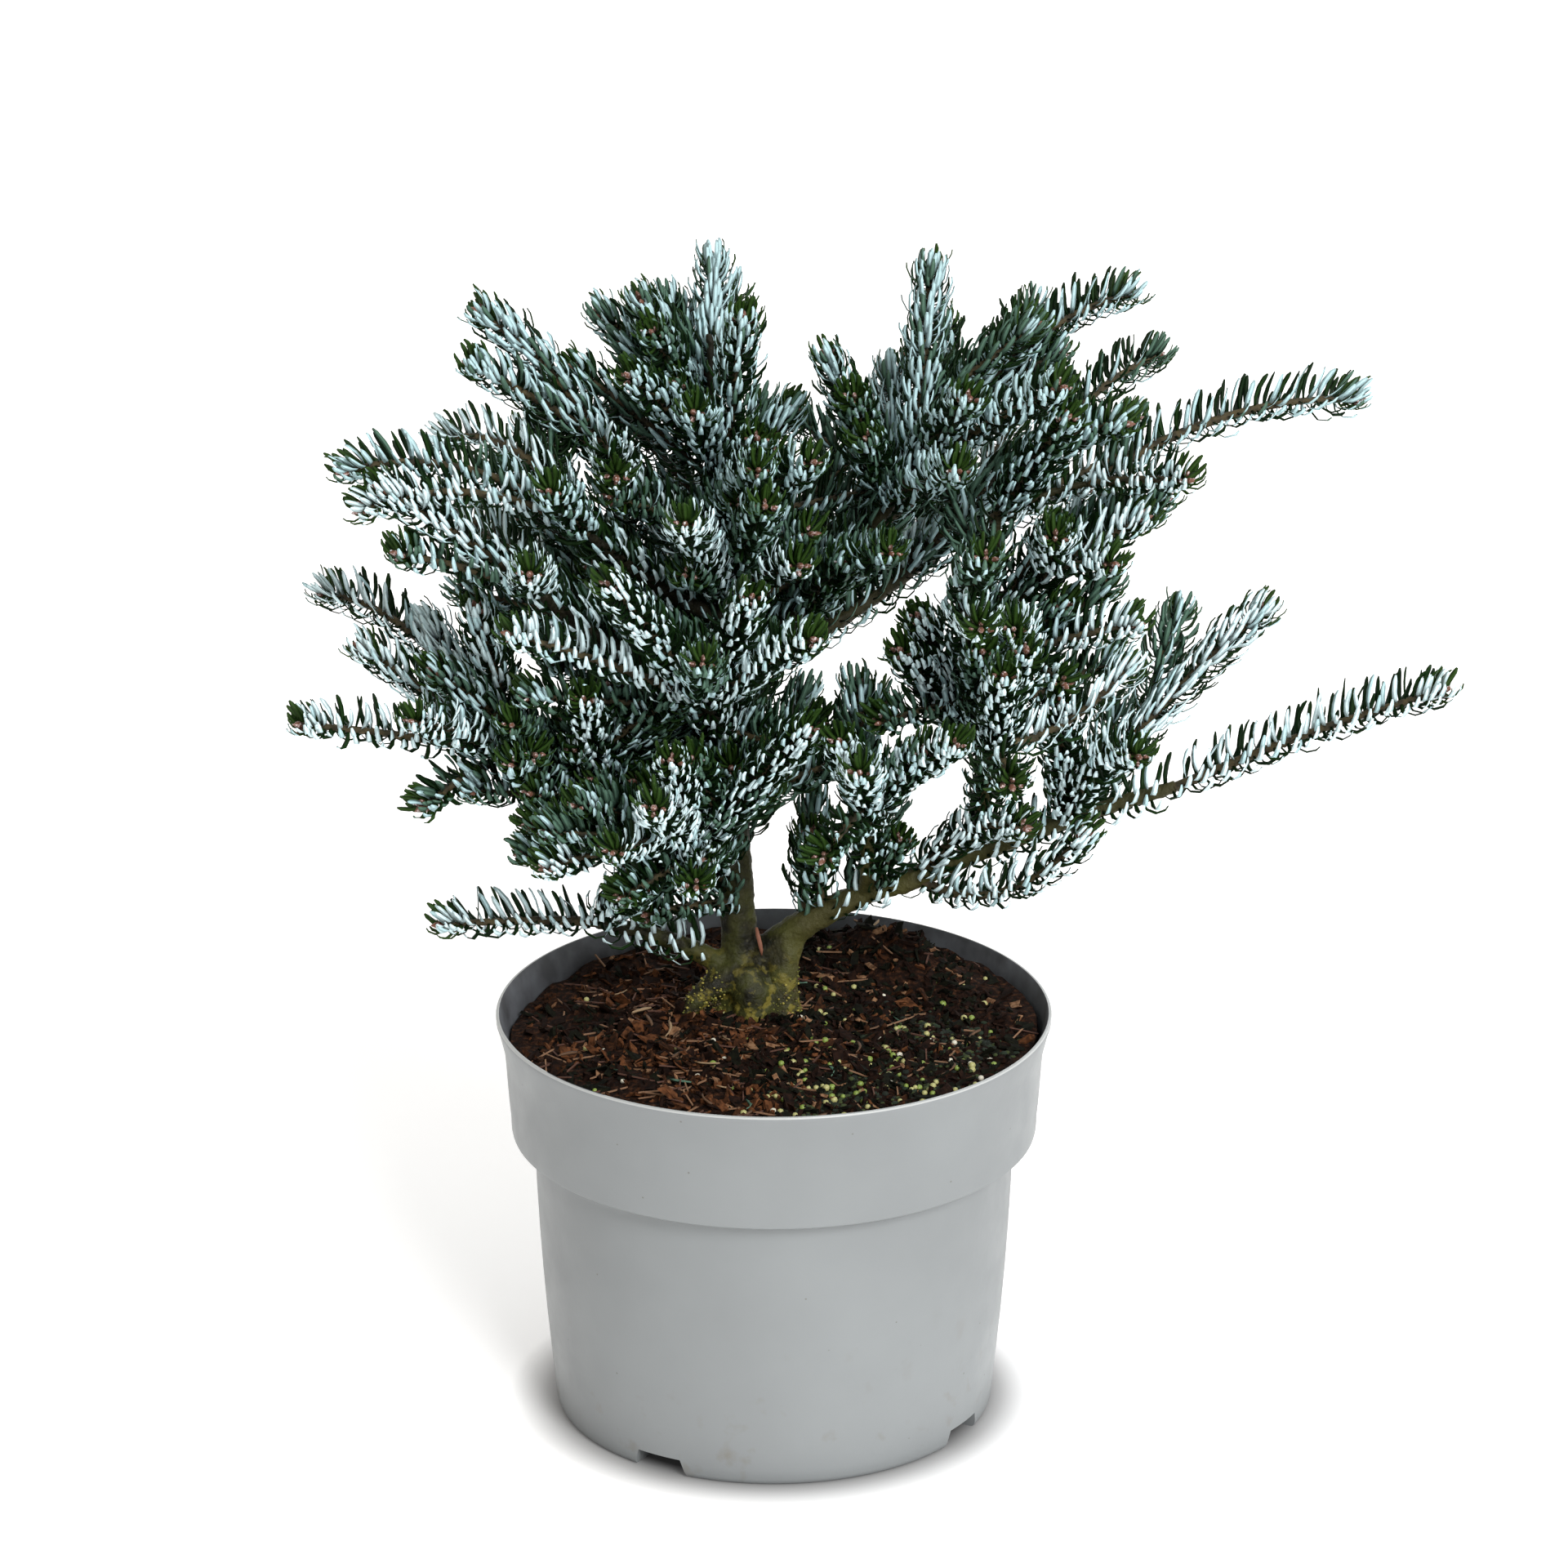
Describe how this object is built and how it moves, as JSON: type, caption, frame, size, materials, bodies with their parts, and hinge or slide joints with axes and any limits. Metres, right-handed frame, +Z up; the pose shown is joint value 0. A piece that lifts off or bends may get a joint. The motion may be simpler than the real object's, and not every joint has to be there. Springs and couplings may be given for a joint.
{
  "type": "potted conifer",
  "caption": "Young silver fir with blunt upturned needles, silver beneath, on a spreading irregular crown, growing in a round grey nursery pot of bark mix.",
  "frame": {"origin": "centre of the pot's flat underside, on the surface it stands on", "axes": "+Z up along the pot's axis, +X to the right and -Y to the front, with the longest low bough reaching towards +X"},
  "size_m": [0.4683, 0.3236, 0.4875],
  "materials": {
    "pot_plastic": "satin",
    "potting_mix": "matte",
    "bark": "matte",
    "foliage": "matte"
  },
  "bodies": {
    "root": {"bough_back": "bark", "bough_back_left": "bark", "bough_back_right": "bark", "bough_front": "bark", "bough_front_low": "bark", "bough_front_right": "bark", "bough_front_right_low": "bark", "bough_left_foot": "bark", "bough_left_low": "bark", "bough_left_mid": "bark", "bough_left_upper": "bark", "bough_low_front": "bark", "bough_right_inner": "bark", "bough_right_low": "bark", "bough_right_mid": "bark", "bough_right_rise": "bark", "bough_right_upper": "bark", "bough_top_right": "bark", "bough_upper_left": "bark", "foliage_back": "foliage", "foliage_back_left": "foliage", "foliage_back_left_upper": "foliage", "foliage_back_right": "foliage", "foliage_back_right_upper": "foliage", "foliage_back_upper": "foliage", "foliage_front": "foliage", "foliage_front_low": "foliage", "foliage_front_low_left": "foliage", "foliage_front_right": "foliage", "foliage_front_right_low": "foliage", "foliage_front_upper": "foliage", "foliage_leader": "foliage", "foliage_left_back": "foliage", "foliage_left_foot": "foliage", "foliage_left_front": "foliage", "foliage_left_inner": "foliage", "foliage_left_low": "foliage", "foliage_left_mid": "foliage", "foliage_left_upper": "foliage", "foliage_low_front": "foliage", "foliage_low_front_right": "foliage", "foliage_right_foot": "foliage", "foliage_right_inner": "foliage", "foliage_right_long": "foliage", "foliage_right_low": "foliage", "foliage_right_mid": "foliage", "foliage_right_rise": "foliage", "foliage_right_upper": "foliage", "foliage_top_front": "foliage", "foliage_top_left": "foliage", "foliage_top_mid": "foliage", "foliage_top_right": "foliage", "foliage_upper_left": "foliage", "foliage_upper_right_back": "foliage", "foliage_upper_right_front": "foliage", "pot": "pot_plastic", "potting_mix": "potting_mix", "stem_right": "bark", "trunk": "bark"}
  },
  "joints": []
}
